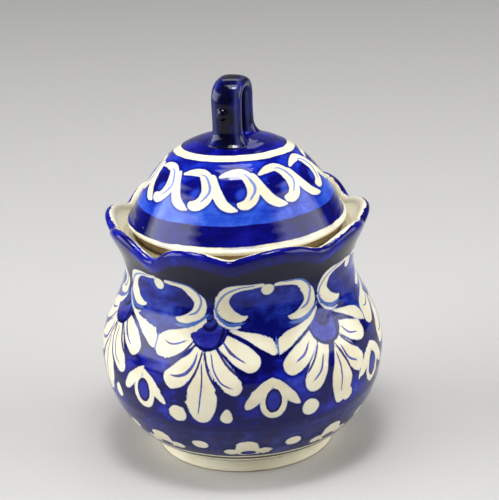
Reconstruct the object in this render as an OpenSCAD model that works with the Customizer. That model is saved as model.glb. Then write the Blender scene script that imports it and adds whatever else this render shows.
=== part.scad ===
// Glazed earthenware sugar bowl with a scalloped rim, a foot ring and a lift-off lid.
// Millimetres, +Z up. The origin is the centre of the foot ring's resting face,
// -Y is the front, and angles round the bowl are counted from the front towards +X.

/* [Bowl] */
// Widest diameter of the belly
belly_d = 100; // [96:1:104]
// Height of the belly's widest point
belly_z = 37; // [35:0.5:39]
// Outside diameter at the waist of the neck
neck_d = 80.6; // [79:0.2:84]
// Height of the neck's waist
neck_z = 67; // [65:0.5:68]
// Wall thickness of the bowl
wall = 4; // [3.4:0.1:4.4]

/* [Foot ring] */
// Outside diameter of the face that rests on the table
foot_d = 62.8; // [58:0.2:63]
// Height of the foot ring
foot_h = 5; // [4.6:0.1:5.4]
// Width of the resting face
foot_w = 3.4; // [2.6:0.1:4.4]

/* [Scalloped rim] */
// Number of scallops
lobes = 9; // [6:1:12]
// Angle of the first valley from the front
valley_turn = -2.5; // [-22.5:0.5:22.5]
// Radius to the middle of the lip in a valley
lip_r = 42.6; // [42:0.1:43.4]
// Height of the middle of the lip in a valley
lip_z = 82.2; // [81.6:0.1:83]
// How far a scallop's peak leans out past a valley
lobe_out = 2.4; // [1:0.1:3]
// How far a scallop's peak stands above a valley
lobe_up = 4; // [2:0.1:5]
// Thickness of the rounded lip
lip_t = 3.8; // [3.2:0.1:4]

/* [Lid seat] */
// Height of the ledge that the lid rests on
seat_z = 80.2; // [79.6:0.1:80.6]
// Inside diameter of the ledge
seat_d = 70.8; // [70.4:0.1:71.4]

/* [Lid] */
// Diameter of the lid's edge
lid_d = 76.4; // [75:0.2:77]
// Height of the dome's top above the ledge
dome_h = 34; // [32:0.5:36]
// Thickness of the dome
dome_t = 3.6; // [3:0.1:4]
// Radial gap between the locating flange and the ledge
flange_gap = 0.8; // [0.4:0.1:1.4]
// Depth of the locating flange below the ledge
flange_drop = 5.2; // [4:0.1:7]
// Thickness of the locating flange
flange_t = 3; // [2.4:0.1:3.4]

/* [Strap handle] */
// Width of the strap
strap_w = 10.4; // [8:0.1:12]
// Thickness of the strap
strap_t = 4.8; // [4:0.1:5.2]
// Depth of the loop over both legs
loop_d = 18.4; // [17:0.2:21]
// Height of the loop above the dome's top
loop_h = 20.2; // [17:0.2:22]
// Turn of the loop away from front-to-back
loop_turn = 17.5; // [0:0.5:45]
// Spread of each leg where it joins the dome
root_flare = 0.9; // [0.4:0.1:1.4]

/* [Hidden] */
$fn = 96;

glaze_blue = [0.07, 0.09, 0.50];
glaze_navy = [0.03, 0.03, 0.25];
glaze_cream = [0.92, 0.90, 0.80];

belly_r = belly_d / 2;
neck_r = neck_d / 2;
foot_r = foot_d / 2;
lid_r = lid_d / 2;
seat_r = seat_d / 2;
dome_z = seat_z + dome_h;
flange_r = seat_r - flange_gap;
rim_z = neck_z + 7;            // the wall is round below this height and scalloped above it
rim_r = neck_r + 0.9;          // outside radius there
floor_z = foot_h + 4.6;        // inside floor of the bowl
lip_half = lip_t / 2;
rim_steps = 16 * lobes;        // facets round the rim
cusp = 0.28;                   // roundness of the valleys between scallops

// A cubic curve with two end points and two handles, as n + 1 points.
function bend(p, n) = [for (i = [0:n]) let (t = i / n, s = 1 - t)
    s * s * s * p[0] + 3 * s * s * t * p[1] + 3 * s * t * t * p[2] + t * t * t * p[3]];

// The list without its last point, for curves that run on into the next one.
function but_last(list) = [for (i = [0:len(list) - 2]) list[i]];

// The list in the opposite order.
function reversed(list) = [for (i = [len(list) - 1:-1:0]) list[i]];

// 0 in the valleys between scallops and 1 on their peaks, with broad peaks and tight valleys.
function lobe(a) = let (s = sin(lobes * (a - valley_turn) / 2))
    (sqrt(s * s + cusp * cusp) - cusp) / (sqrt(1 + cusp * cusp) - cusp);

// ---- Bowl ----

// Outside of the wall from the foot up to rim_z: full belly, then a waisted neck.
function wall_outside() = concat(
    [[foot_r + 0.8, foot_h]],
    but_last(bend([[foot_r + 1.4, foot_h + 0.4], [foot_r + 8.6, 9], [belly_r, 20],
                   [belly_r, belly_z]], 16)),
    but_last(bend([[belly_r, belly_z], [belly_r, belly_z + 13], [neck_r + 1.2, neck_z - 12],
                   [neck_r, neck_z]], 16)),
    bend([[neck_r, neck_z], [neck_r, neck_z + 2.5], [neck_r + 0.3, rim_z - 2.5],
          [rim_r, rim_z]], 5));

// Inside of the wall from the middle of the floor up to rim_z.
function wall_inside() = concat(
    [[0, floor_z], [16, floor_z]],
    but_last(bend([[20, floor_z], [foot_r + 7, floor_z + 1.5], [belly_r - wall, 23],
                   [belly_r - wall, belly_z]], 16)),
    but_last(bend([[belly_r - wall, belly_z], [belly_r - wall, belly_z + 12],
                   [neck_r - wall + 1, neck_z - 12], [neck_r - wall, neck_z]], 16)),
    [[neck_r - wall, neck_z], [neck_r - wall, rim_z]]);

// Section of the scalloped rim where a scallop has risen by w, from 0 to 1: up the outside,
// over the round lip, down the inside to the ledge, and back to the neck.
function rim_section(w) = let (r = lip_r + lobe_out * w, z = lip_z + lobe_up * w) concat(
    but_last(bend([[rim_r - 0.05, rim_z], [rim_r + 0.9, rim_z + 3.2],
                   [r + lip_half - 0.9, z - 3], [r + lip_half, z]], 6)),
    [for (a = [0:30:180]) [r + lip_half * cos(a), z + lip_half * sin(a)]],
    [[seat_r + 4.2, seat_z], [seat_r, seat_z], [seat_r, seat_z - 2],
     [neck_r - wall + 0.05, rim_z + 1.2], [neck_r - wall + 0.05, rim_z]]);

module scalloped_rim() {
    sections = [for (i = [0:rim_steps - 1]) rim_section(lobe(360 * i / rim_steps))];
    n = len(sections[0]);
    points = [for (i = [0:rim_steps - 1], p = sections[i]) let (a = 360 * i / rim_steps)
        [p.x * sin(a), -p.x * cos(a), p.y]];
    faces = [for (i = [0:rim_steps - 1], k = [0:n - 1])
        let (i2 = (i + 1) % rim_steps, k2 = (k + 1) % n)
        [i * n + k, i * n + k2, i2 * n + k2, i2 * n + k]];
    polyhedron(points, faces, convexity = 6);
}

module bowl_body() {
    color(glaze_blue) union() {
        rotate_extrude()
            polygon(concat([[0, foot_h]], wall_outside(), reversed(wall_inside())));
        scalloped_rim();
    }
}

module foot_ring() {
    edge = 0.6;
    color(glaze_cream) rotate_extrude()
        polygon([[foot_r - foot_w, 0], [foot_r - edge, 0], [foot_r, edge],
                 [foot_r + 0.6, foot_h], [foot_r - foot_w - 0.8, foot_h],
                 [foot_r - foot_w - edge, edge]]);
}

// ---- Lid ----

// Outside of the lid from the top of the dome down to its edge.
function dome_outside() = concat(
    but_last(bend([[0, dome_z], [7, dome_z], [14, dome_z - 1.9], [20, dome_z - 5.4]], 12)),
    but_last(bend([[20, dome_z - 5.4], [28, dome_z - 10.2], [34.4, seat_z + 11.8],
                   [lid_r - 1, seat_z + 5.5]], 16)),
    [[lid_r - 0.2, seat_z + 5], [lid_r, seat_z + 4.2], [lid_r - 0.3, seat_z + 3.3],
     [flange_r + 2.2, seat_z]]);

// Inside of the lid from the flange up to the middle of the hollow.
function dome_inside() = let (r = flange_r - flange_t, t = dome_t) concat(
    [[r, seat_z]],
    but_last(bend([[r, seat_z + 4], [r - 0.6, seat_z + 11], [26, dome_z - 14],
                   [18, dome_z - t - 5.2]], 12)),
    bend([[18, dome_z - t - 5.2], [13, dome_z - t - 2.2], [6, dome_z - t], [0, dome_z - t]], 10));

module lid_dome() {
    color(glaze_blue) rotate_extrude()
        polygon(concat(dome_outside(), dome_inside()));
}

module lid_flange() {
    edge = 0.7;
    color(glaze_cream) rotate_extrude()
        polygon([[flange_r - flange_t, seat_z], [flange_r, seat_z],
                 [flange_r, seat_z - flange_drop + edge],
                 [flange_r - edge, seat_z - flange_drop],
                 [flange_r - flange_t + edge, seat_z - flange_drop],
                 [flange_r - flange_t, seat_z - flange_drop + edge]]);
}

// The strap's section, flat with fully rounded edges, widened and thickened by grow all round.
module strap_section(grow = 0) {
    flat = strap_w - strap_t;
    square([flat, strap_t + 2 * grow], center = true);
    for (side = [-1, 1])
        translate([side * flat / 2, 0]) circle(d = strap_t + 2 * grow);
}

// One leg of the loop, spreading at its root where it is pressed onto the dome.
module strap_leg(height) {
    root_h = 3.4;
    linear_extrude(height) strap_section();
    hull() {
        linear_extrude(0.1, $fn = 32) strap_section(root_flare);
        translate([0, 0, root_h]) linear_extrude(0.1, $fn = 32) strap_section(-0.05);
    }
}

module lid_handle() {
    bend_r = (loop_d - strap_t) / 2;
    bend_z = dome_z + loop_h - loop_d / 2;
    root_z = dome_z - 1.6;
    color(glaze_navy) rotate([0, 0, -loop_turn]) difference() {
        union() {
            for (side = [-1, 1])
                translate([0, side * bend_r, root_z]) strap_leg(bend_z - root_z);
            translate([0, 0, bend_z]) rotate([0, -90, 0]) rotate([0, 0, -90])
                rotate_extrude(angle = 180)
                    translate([bend_r, 0]) rotate([0, 0, 90]) strap_section();
        }
        rotate_extrude() polygon(concat([[0, seat_z]], reversed(dome_outside())));
    }
}

bowl_body();
foot_ring();
lid_dome();
lid_flange();
lid_handle();
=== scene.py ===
"""A glazed earthenware sugar bowl with a scalloped rim and a lift-off lid, painted in cobalt on ivory.

Lengths in the sections below are millimetres until a mesh is made, and angles round the bowl are degrees
from the front (-Y) towards +X, because that is how a decorator sets a bowl out on the wheel.
"""
import math

import bpy
import numpy as np
from mathutils import Matrix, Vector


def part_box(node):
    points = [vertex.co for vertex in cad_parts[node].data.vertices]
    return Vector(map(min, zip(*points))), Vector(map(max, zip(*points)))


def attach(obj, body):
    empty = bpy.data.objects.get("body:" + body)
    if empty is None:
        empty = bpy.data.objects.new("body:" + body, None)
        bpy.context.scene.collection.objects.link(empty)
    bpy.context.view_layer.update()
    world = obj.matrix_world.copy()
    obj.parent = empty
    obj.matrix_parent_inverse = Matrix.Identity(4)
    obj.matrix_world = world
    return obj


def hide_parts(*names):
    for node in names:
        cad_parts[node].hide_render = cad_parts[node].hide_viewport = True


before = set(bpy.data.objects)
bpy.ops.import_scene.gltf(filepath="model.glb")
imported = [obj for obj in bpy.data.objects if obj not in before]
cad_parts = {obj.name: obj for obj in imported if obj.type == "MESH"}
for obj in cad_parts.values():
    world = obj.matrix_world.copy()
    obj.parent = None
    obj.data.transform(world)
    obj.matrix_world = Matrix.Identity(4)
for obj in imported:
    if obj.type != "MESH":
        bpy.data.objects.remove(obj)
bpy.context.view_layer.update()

# ---- Bowl body ------------------------------------------------------------------------------------
# The belly, waisted neck and scalloped lip are one thrown wall of pale earthenware about 4 mm thick.
# The lip is pressed into nine scallops while wet, a ledge is turned inside the neck for the lid, and
# the dry glaze is painted by hand: ivory flowers and hearts are left bare, and cobalt is washed round them.

MM = 0.001
BELLY_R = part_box("bowl_body")[1].x / MM
BELLY_Z = 37.0
NECK_R, NECK_Z = 40.3, 67.0
FOOT_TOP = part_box("foot_ring")[1].z / MM
FOOT_R = 31.4
WALL = 4.0
FLOOR_Z = FOOT_TOP + 4.6
RIM_Z = NECK_Z + 7.0
SEAT_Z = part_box("lid_flange")[1].z / MM
SEAT_R = 35.4
LIP_R, LIP_Z, LIP_HALF = 42.6, 82.2, 1.9
VALLEY_TURNS = [-42.5, -4.2, 40.3, 79.5, 113.0, 156.5, 200.0, 243.5, 277.5]
LOBE_OUT, LOBE_UP = 2.3, 3.9
FLARE_STEPS, LIP_STEPS, SLOPE_STEPS = 8, 8, 5
# The ledge's painted shade: where it starts past the rim's inside slope, and its half width, in mm.
LEDGE_FROM, LEDGE_SHADE_HALF = 4.4, 1.8
ROUND_STEPS = 512


def bend(points, steps):
    """A cubic curve from two end points and two handles: their shares are the terms of (1 - t + t) cubed."""
    t = np.linspace(0, 1, steps + 1)[:, None]
    p = np.asarray(points, float)
    return (1 - t) ** 3 * p[0] + 3 * t * (1 - t) ** 2 * p[1] + 3 * t**2 * (1 - t) * p[2] + t**3 * p[3]


def join(*curves):
    """One outline from curves that each start where the last one ends, with the shared points kept once."""
    return np.vstack([np.asarray(c, float)[:-1] for c in curves[:-1]] + [np.asarray(curves[-1], float)])


def even(outline, steps):
    """The outline again with its points at equal distances along it."""
    outline = np.asarray(outline, float)
    gaps = np.hypot(*np.diff(outline, axis=0).T)
    run = np.concatenate([[0], np.cumsum(gaps)])
    at = np.linspace(0, run[-1], steps + 1)
    return np.stack([np.interp(at, run, outline[:, k]) for k in range(2)], 1)


def ripple(angle, height, seed, waves=9, longest=60.0, shortest=9.0):
    """A smooth random height from -1 to 1: a sum of sine waves with whole numbers of turns round the bowl."""
    rng = np.random.default_rng(seed)
    total = np.zeros(np.broadcast(angle, height).shape)
    for _ in range(waves):
        length = longest * (shortest / longest) ** rng.random()
        heading = rng.random() * math.tau
        turns = round(math.tau * 45 / length * math.cos(heading))
        total += np.sin(np.radians(angle) * turns + height * math.tau / length * math.sin(heading)
                        + rng.random() * math.tau)
    return total / waves**0.5 / 1.6


def turned_mesh(name, grid, fields, poles=None):
    """A closed mesh from rings of points (rings x steps x 3, in mm) that run on round the axis.

    Ring i is joined to ring i + 1 by quads. Given two poles, the first and last rings are closed on them by
    fans; without, the last ring joins the first, as on a plain ring. Every field is one number a vertex,
    stored for the material to read, and a pole takes its ring's mean.
    """
    rings, steps = grid.shape[:2]
    i = np.arange(rings - 1 if poles else rings)[:, None]
    k = np.arange(steps)[None]
    low, high = i * steps, (i + 1) % rings * steps
    quads = np.stack([low + k, low + (k + 1) % steps, high + (k + 1) % steps, high + k], -1).reshape(-1, 4)
    verts, fans = grid.reshape(-1, 3), []
    if poles:
        verts = np.vstack([verts, poles])
        ends = np.arange(steps)
        ends2 = (ends + 1) % steps
        first, last = rings * steps, (rings - 1) * steps
        fans = np.stack([np.full(steps, first), ends2, ends], 1).tolist()
        fans += np.stack([np.full(steps, first + 1), last + ends, last + ends2], 1).tolist()
    mesh = bpy.data.meshes.new(name)
    mesh.from_pydata((verts * MM).tolist(), [], quads.tolist() + fans)
    mesh.shade_smooth()
    for field, values in fields.items():
        layer = mesh.attributes.new(field, "FLOAT", "POINT")
        flat = values.ravel()
        if poles:
            flat = np.concatenate([flat, [values[0].mean(), values[-1].mean()]])
        layer.data.foreach_set("value", flat.astype(np.float32))
    piece = bpy.data.objects.new(name, mesh)
    bpy.context.scene.collection.objects.link(piece)
    return piece


def spun(radius, angle, height):
    """Points at a radius and a height, turned by an angle in degrees from the front towards +X."""
    turn = np.radians(angle)
    return np.stack(np.broadcast_arrays(radius * np.sin(turn), -radius * np.cos(turn), height), -1)


def around(outline, steps):
    """Points on a circle at each point of an outline of (radius, height), rings x steps x 3."""
    return spun(outline[:, :1], np.arange(steps) * 360 / steps, outline[:, 1:])


def lobe(angle):
    """How far a scallop has risen, 0 in the valleys and 1 on the peaks: a rounded cusp from |sine|, with
    the angle measured in scallops from the first valley on."""
    cusp = 0.28
    first = VALLEY_TURNS[0]
    scallops = np.interp((angle - first) % 360 + first, [*VALLEY_TURNS, first + 360],
                         np.arange(len(VALLEY_TURNS) + 1))
    s = np.sin(math.pi * scallops)
    return (np.sqrt(s * s + cusp * cusp) - cusp) / (math.sqrt(1 + cusp * cusp) - cusp)


# The wall's outline, up the outside from under the foot and down the inside to the floor.
under = even([[0, FOOT_TOP], [FOOT_R + 0.6, FOOT_TOP]], 6)
outside = even(join(
    [[FOOT_R + 0.6, FOOT_TOP], [FOOT_R + 1.4, FOOT_TOP + 0.4]],
    bend([[FOOT_R + 1.4, FOOT_TOP + 0.4], [FOOT_R + 8.6, 9], [BELLY_R, 20], [BELLY_R, BELLY_Z]], 40),
    bend([[BELLY_R, BELLY_Z], [BELLY_R, BELLY_Z + 13], [NECK_R + 1.2, NECK_Z - 12], [NECK_R, NECK_Z]], 40),
    bend([[NECK_R, NECK_Z], [NECK_R, NECK_Z + 2.5], [NECK_R + 0.3, RIM_Z - 2.5],
          [NECK_R + 0.9, RIM_Z]], 12)), 128)
inside = even(join(
    [[NECK_R - WALL, RIM_Z], [NECK_R - WALL, NECK_Z]],
    bend([[NECK_R - WALL, NECK_Z], [NECK_R - WALL + 1, NECK_Z - 12],
          [BELLY_R - WALL, BELLY_Z + 12], [BELLY_R - WALL, BELLY_Z]], 30),
    bend([[BELLY_R - WALL, BELLY_Z], [BELLY_R - WALL, 23], [FOOT_R + 7, FLOOR_Z + 1.5], [20, FLOOR_Z]], 30),
    [[20, FLOOR_Z], [0, FLOOR_Z]]), 26)


def rim_outline(w):
    """The rim's section where a scallop has risen by w: flare, round lip, inside slope, ledge and neck."""
    r, z = LIP_R + LOBE_OUT * w, LIP_Z + LOBE_UP * w
    turn = np.radians(np.linspace(0, 180, LIP_STEPS + 1))[:, None]
    lip = np.array([r, z]) + LIP_HALF * np.hstack([np.cos(turn), np.sin(turn)])
    flare = bend([[NECK_R + 0.9, RIM_Z], [NECK_R + 1.8, RIM_Z + 3.2],
                  [r + LIP_HALF - 0.9, z - 3], [r + LIP_HALF, z]], FLARE_STEPS)
    slope = bend([[r - LIP_HALF, z], [r - LIP_HALF, z - 1.2], [SEAT_R + 4.6, SEAT_Z + 1.4],
                  [SEAT_R + 4, SEAT_Z]], SLOPE_STEPS)
    groove = bend([[SEAT_R + 4, SEAT_Z], [SEAT_R + 4, SEAT_Z - 1.7], [SEAT_R + 1.9, SEAT_Z - 1.7],
                   [SEAT_R + 1.9, SEAT_Z]], 6)
    ledge = join(groove, [[SEAT_R + 1.9, SEAT_Z], [SEAT_R + 0.5, SEAT_Z], [SEAT_R, SEAT_Z - 0.5],
                          [SEAT_R, SEAT_Z - 2], [NECK_R - WALL, RIM_Z + 1.2], [NECK_R - WALL, RIM_Z]])
    return join(flare, lip, slope, ledge)


angle = np.arange(ROUND_STEPS) * 360 / ROUND_STEPS
rise = lobe(angle)
# No two scallops are pressed quite alike.
rise = rise * (1 - 0.10 * (0.5 + 0.5 * ripple(angle, 0 * angle, 11, 6, 140, 60)))
low, high = rim_outline(0.0), rim_outline(1.0)
rim = low[:, None] + (high - low)[:, None] * rise[None, :, None]
# One valley was pressed deeper by the thumb, and two peaks have slumped: a smooth dip at each angle.
dip = sum(deep * np.exp(-(((angle - at + 180) % 360 - 180) / wide) ** 2) for at, deep, wide in
          [(-43, 2.3, 9), (39, 0.4, 8), (97, 1.7, 12), (260, 1.2, 12)])
lip_share = np.interp(np.arange(len(low)), np.cumsum([0, FLARE_STEPS, LIP_STEPS, SLOPE_STEPS]), [0, 1, 1, 0])
rim[..., 1] -= lip_share[:, None] * dip
wall_rows = np.vstack([under[1:-1], outside[:-1]])
back_rows = inside[1:-1]
rows = np.concatenate([np.repeat(wall_rows[:, None], ROUND_STEPS, 1), rim,
                       np.repeat(back_rows[:, None], ROUND_STEPS, 1)])
WALL_END = len(wall_rows)
radius, height = rows[..., 0], rows[..., 1]
run = np.concatenate([np.zeros((1, ROUND_STEPS)),
                      np.cumsum(np.hypot(np.diff(radius, axis=0), np.diff(height, axis=0)), 0)])
angles = np.broadcast_to(angle, radius.shape)

# Throwing marks and a slight wobble, always inwards so that the wall stays in its outline.
on_wall = np.clip((height - 8) / 6, 0, 1) * np.clip((RIM_Z + 2 - height) / 8, 0, 1)
on_wall = on_wall * (np.arange(len(rows)) < WALL_END)[:, None]
throwing = 0.5 + 0.5 * np.sin(height * 1.15 + 0.8 * ripple(angles, height, 3))
wobble = 0.5 + 0.5 * ripple(angles, height, 5, 7, 120, 45)
shaped = radius - on_wall * (0.10 * throwing + 0.28 * wobble)
grid = spun(shaped, angles, height)

# The brushwork. Each stroke is a row of (angle from the motif's middle, height, half width): a path for a
# loaded brush that swells and tapers. Distances to its edge are stored on the wall, less than 0 inside.

DAISY_PETALS = [
    [(-6.6, 56.2, 2.5), (-10, 54.7, 3.2), (-14, 53, 3.6), (-18, 51.8, 3.4), (-20.2, 51.3, 3.0)],
    [(-2.7, 53, 2.0), (-4.5, 49.5, 3.2), (-8, 46.5, 4.1), (-11.5, 43.8, 4.2), (-13.5, 42.6, 3.8)],
    [(-0.6, 51, 0.4), (-0.8, 47, 1.7), (-0.4, 43, 3.7), (-0.8, 38.5, 5.0), (-1, 35.5, 5.1), (-1.5, 31.5, 3.6),
     (-2.2, 28.6, 0.8)],
    [(1.9, 53, 1.9), (4.8, 49.5, 3.1), (7.6, 46.5, 3.6), (10.3, 43.4, 3.6), (12.3, 41.2, 2.9)],
    [(7.0, 55.7, 2.5), (12, 53, 3.3), (15, 51.4, 3.7), (19, 49.0, 3.3)],
]
DAISY_VEINS = [
    [(-9, 55, 0.22), (-12.5, 53.9, 0.36), (-16, 53.4, 0.34), (-18.8, 53.9, 0.22)],
    [(-3.5, 51.5, 0.25), (-4.5, 48.6, 0.46), (-7, 45.6, 0.56), (-10.5, 44.0, 0.50), (-14, 43.8, 0.25)],
    [(-1.4, 48, 0.26), (-1.0, 42.5, 0.34), (-1.7, 36.5, 0.34), (-3.0, 31, 0.22)],
    [(2.6, 51.5, 0.24), (3.8, 47, 0.32), (6.6, 43, 0.34), (10.6, 41.0, 0.22)],
    [(7.5, 55.3, 0.28), (10.5, 52.3, 0.50), (13.5, 50.6, 0.36), (16.4, 49.2, 0.22)],
]
DAISY_GAPS = [
    [(-6, 54.6, 0.36), (-9.5, 51.6, 0.42), (-13, 49.8, 0.5), (-17, 48.4, 0.3)],
    [(-1.2, 52.5, 0.34), (-3.0, 47, 0.42), (-5.6, 42.6, 0.5), (-7.5, 40.4, 0.3)],
    [(-0.3, 52.5, 0.34), (1.5, 46.6, 0.42), (4.1, 42.4, 0.5), (5.6, 40.4, 0.3)],
    [(4.3, 54.0, 0.36), (8.2, 49.7, 0.46), (12.4, 46.2, 0.56), (15.5, 44.6, 0.3)],
]
DAISY_ARCS = [
    [(-2.0, 1.9, 0.3), (0.6, 0.6, 0.62), (3.4, 1.3, 0.70), (5.2, 3.4, 0.4)],
    [(2.6, -5.4, 0.3), (5.6, -3.2, 0.55), (7.4, 0.4, 0.60), (7.2, 3.2, 0.3)],
    [(-1.0, 4.0, 0.2), (1.2, 3.2, 0.34), (2.8, 4.4, 0.2)],
]
# A second hand's daisy, a little lower and leaning, that turns up here and there round the bowl.
LEANING_PETALS = [
    [(-7.4, 54.0, 2.4), (-13, 50.4, 3.4), (-17.2, 47.8, 3.7), (-19.6, 46.6, 3.3)],
    [(-3.4, 50.8, 2.0), (-7.8, 44.6, 3.2), (-10.4, 40.6, 3.3), (-11, 39.8, 2.9)],
    [(2, 48.5, 0.5), (2.4, 44, 2.2), (3.2, 38, 4.6), (3.2, 33.4, 4.0), (2.2, 30.6, 2.2)],
    [(3.9, 50.6, 1.9), (8.2, 45.6, 3.3), (12.2, 41.6, 3.5), (13.4, 40.2, 2.9)],
    [(8.8, 53.4, 2.0), (13.6, 51.5, 2.9), (18, 49.9, 3.1), (19, 49.6, 2.8)],
]
LEANING_VEINS = [
    [(-10, 52.4, 0.24), (-13, 49.4, 0.46), (-17, 47.6, 0.30)],
    [(-4.6, 47.5, 0.24), (-7, 43, 0.42), (-10.6, 39.9, 0.28)],
    [(2.0, 46.5, 0.26), (2.9, 40, 0.38), (2.6, 33, 0.24)],
    [(5.2, 48.2, 0.26), (7.6, 43.6, 0.46), (12.0, 41.2, 0.30)],
    [(9.4, 53.4, 0.26), (12.6, 50.8, 0.42), (17, 49.7, 0.26)],
]
LEANING_GAPS = [
    [(-6, 51.0, 0.36), (-9.5, 46.6, 0.46), (-13, 43.4, 0.34)],
    [(-0.6, 49.5, 0.36), (-2.6, 44.5, 0.46), (-5, 39.6, 0.34)],
    [(2.8, 49.2, 0.36), (5.8, 44.4, 0.46), (8.6, 38.8, 0.34)],
    [(6.6, 51.2, 0.36), (10.4, 48.0, 0.46), (15, 45.2, 0.34)],
]
HEART_SCROLLS = [
    [(4, 73.8, 0.8), (9.5, 73.7, 1.0), (14.5, 73, 1.3), (18, 71, 1.8), (21.3, 67.8, 2.3), (20.8, 64.5, 2.5),
     (16, 62, 1.8), (11, 61.2, 1.0), (9.3, 61.6, 0.4)],
    [(-3, 74, 0.7), (-8, 73.7, 0.9), (-13, 73.4, 1.1), (-18, 72.4, 1.6), (-21.2, 70.2, 2.1),
     (-22.3, 67.5, 2.3), (-21.3, 65.3, 2.4), (-18.5, 63.5, 2.0), (-15, 62.6, 1.4), (-12.5, 62.5, 0.8),
     (-10.8, 63, 0.3)],
]
HEART_LEAVES = [
    [(24.6, 62.0, 0.5), (20.5, 59.2, 1.0), (15, 57.3, 1.5), (9.5, 55.6, 2.2), (5.6, 54.2, 2.5),
     (3.6, 52.6, 1.7), (2.3, 51, 0.3)],
    [(-19, 59.0, 0.4), (-13, 57.6, 1.1), (-7.5, 56, 2.0), (-3.2, 54.4, 2.5), (-1, 52.8, 1.8), (0.6, 51, 0.3)],
]
HEART_SLIVERS = [
    [(-26, 65.5, 0.4), (-25, 62.8, 0.5), (-22, 60.6, 0.6), (-18, 59.6, 0.5), (-14, 60, 0.3)],
]
HEART_BANDS = [
    [(25.5, 63.7, 0.40), (22, 61.5, 0.56), (17.5, 60, 0.64), (14, 59.4, 0.64), (10, 59.4, 0.44)],
    [(-25.6, 66, 0.36), (-24.4, 64, 0.54), (-22.2, 62.1, 0.62), (-19.5, 60.9, 0.66), (-16, 60.8, 0.62),
     (-12.5, 61.2, 0.4)],
    [(1.5, 55.4, 0.42), (1.6, 53, 0.38), (1.5, 50.8, 0.34)],
]
HEART_LINES = [
    [(7, 74.4, 0.26), (15, 74.0, 0.34), (18.9, 72.6, 0.38), (22.0, 69.8, 0.42), (22, 67, 0.46),
     (20.1, 64.4, 0.46), (16.4, 63.2, 0.3)],
    [(-25.4, 65.4, 0.34), (-23.6, 68.6, 0.40), (-19.5, 71.6, 0.36), (-13, 73.5, 0.30), (-7, 74.1, 0.24)],
]
HEART_POINT = [(0.5, 66, 8.5), (1.0, 62, 7.5), (1.4, 58.5, 5.5), (1.5, 55, 1.5)]
TULIP_WINGS = [
    [(0, 43.8, 0.4), (-2.6, 41, 1.9), (-6, 38, 2.2), (-8.8, 35.4, 1.7), (-10.2, 34.2, 0.9)],
    [(0, 43.6, 0.4), (2.2, 41, 1.9), (6, 37.6, 2.1), (9, 34.6, 1.4), (10.6, 33.3, 0.6)],
]
DAISY_TURNS = [-16.0, 39.0, 89.2, 139.4, -170.4, -120.2, -70.5]


def smooth_path(stations, per_span=9):
    """A curve through the stations (Catmull-Rom): each span leaves a station along the line between its
    neighbours, and every column, the half width too, is blended the same way."""
    p = np.asarray(stations, float)
    p = np.vstack([2 * p[0] - p[1], p, 2 * p[-1] - p[-2]])
    a, b, c, d = (p[k:len(p) - 3 + k, None] for k in range(4))
    t = np.linspace(0, 1, per_span, endpoint=False)[None, :, None]
    spans = 0.5 * (2 * b + (c - a) * t + (2 * a - 5 * b + 4 * c - d) * t**2 + (3 * b - a - 3 * c + d) * t**3)
    return np.vstack([spans.reshape(-1, p.shape[1]), p[-2]])


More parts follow.
